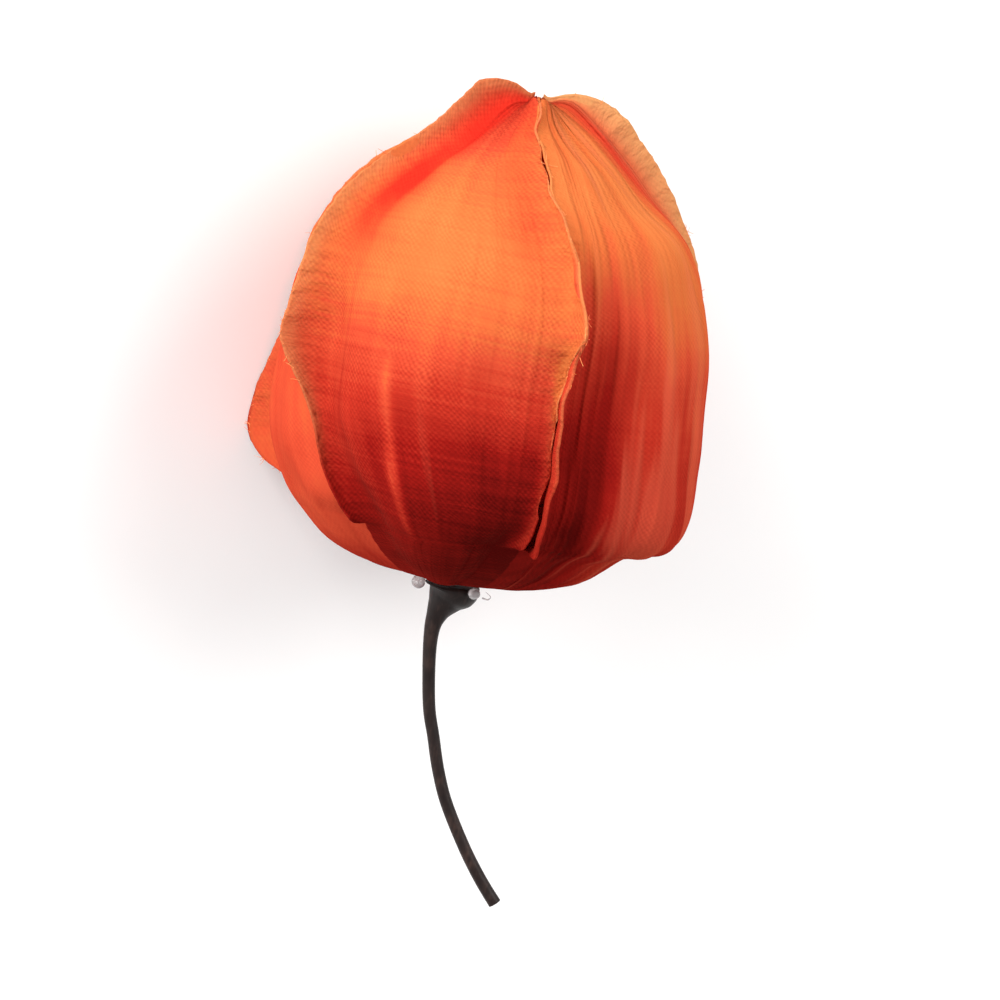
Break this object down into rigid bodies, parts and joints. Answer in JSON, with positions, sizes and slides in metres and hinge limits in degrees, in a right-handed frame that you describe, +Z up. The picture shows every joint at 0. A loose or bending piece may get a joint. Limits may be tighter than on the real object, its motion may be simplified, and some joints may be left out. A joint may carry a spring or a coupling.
{
  "type": "physalis berry",
  "caption": "Artificial physalis berry lying on its side: a woven lantern of petals glued along raised seams, on a slender curved stem.",
  "frame": {"origin": "middle of the bounding box at floor level, with the berry lying on two of its seams", "axes": "+Y from the stem to the tip of the lantern, +Z up from the floor, +X to the right seen from above with the tip away"},
  "size_m": [0.044, 0.08, 0.0425],
  "materials": {
    "woven_fabric": "matte",
    "brown_plastic": "satin",
    "clear_glue": "gloss"
  },
  "bodies": {
    "root": {"husk": "woven_fabric", "stem": "brown_plastic", "glue_bead_left": "clear_glue", "glue_bead_right": "clear_glue", "glue_thread": "clear_glue"}
  },
  "joints": []
}
